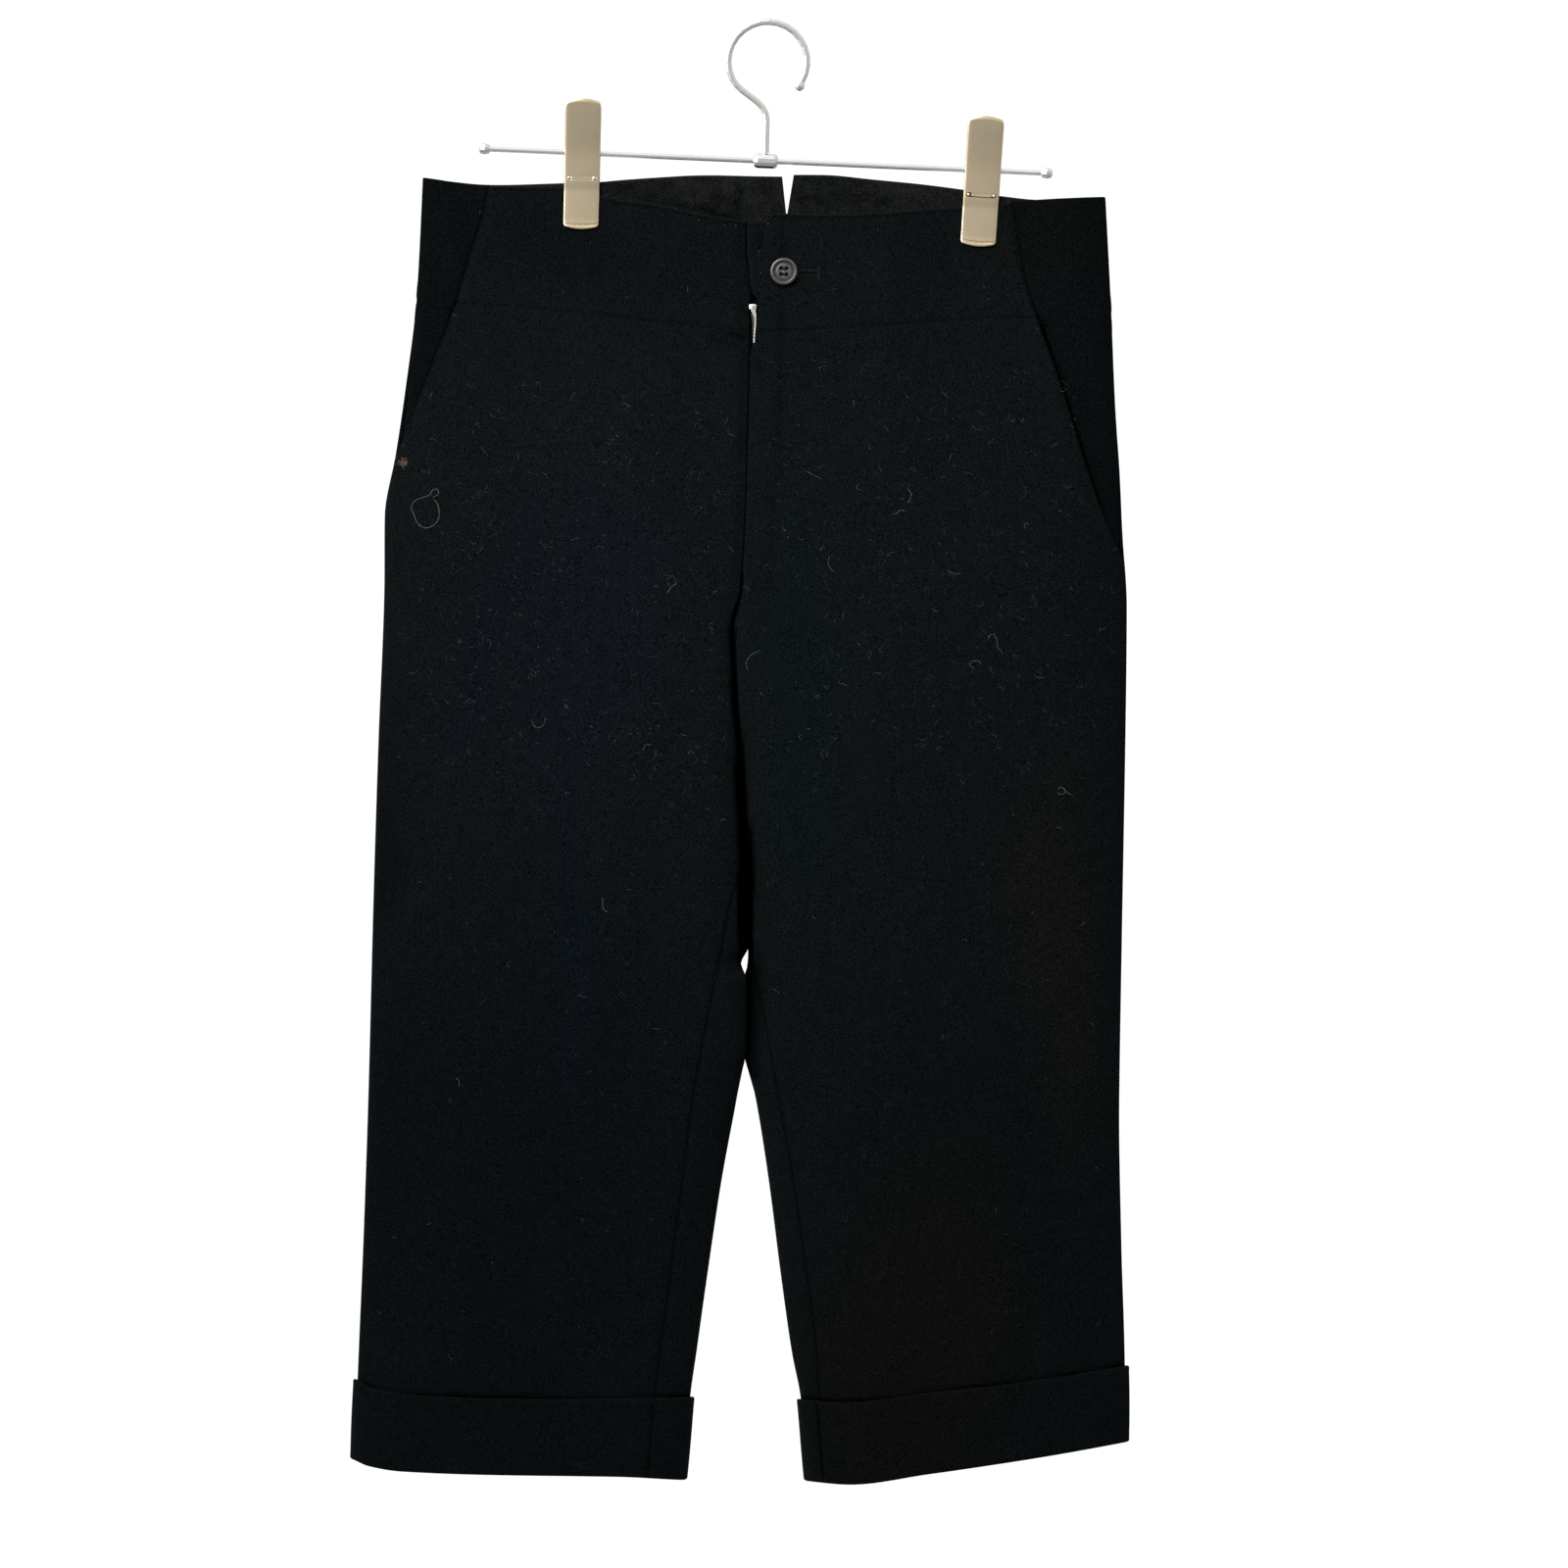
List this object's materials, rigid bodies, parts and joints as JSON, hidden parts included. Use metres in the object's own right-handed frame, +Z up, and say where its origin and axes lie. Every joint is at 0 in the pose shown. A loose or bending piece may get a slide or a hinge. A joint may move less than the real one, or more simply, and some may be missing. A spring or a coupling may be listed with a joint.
{
  "type": "cropped trousers on a clip hanger",
  "caption": "Flat-hung cropped wool trousers with a deep waistband, slanted pockets, zip fly and turned-up cuffs, gripped by clips on a rod hanger with a hook.",
  "frame": {"origin": "inside top of the hanger's hook, where a rail carries it", "axes": "+Z up, the garment's front faces -Y, the wearer's left is +X"},
  "size_m": [0.4295, 0.0448, 0.8059],
  "materials": {
    "wool": "fine matt worsted",
    "zip_tape": "woven tape with moulded teeth",
    "button": "polished dark horn look",
    "zip_metal": "bright nickel",
    "clip_metal": "satin nickel",
    "hanger_wire": "polished"
  },
  "bodies": {
    "trousers": {"front_panel_left": "wool", "front_panel_right": "wool", "back_panel_left": "wool", "back_panel_right": "wool", "side_panel_left": "wool", "side_panel_right": "wool", "front_band_left": "wool", "front_band_right": "wool", "back_band_left": "wool", "back_band_right": "wool", "cuff_left": "wool", "cuff_right": "wool", "fly_zip": "zip_tape", "zip_slider": "zip_metal", "waist_button": "button", "clip_left_front": "clip_metal", "clip_left_back": "clip_metal", "clip_left_spring": "clip_metal", "clip_right_front": "clip_metal", "clip_right_back": "clip_metal", "clip_right_spring": "clip_metal", "hanger_rod": "hanger_wire", "hanger_hook": "hanger_wire"},
    "pull": {"zip_pull": "zip_metal"}
  },
  "joints": [
    {"name": "pull_swing", "type": "hinge", "parent": "trousers", "child": "pull", "pos_m": [-0.005, -0.01639, -0.1555], "axis": [-1, 0, 0], "range_deg": [0, 160]}
  ]
}
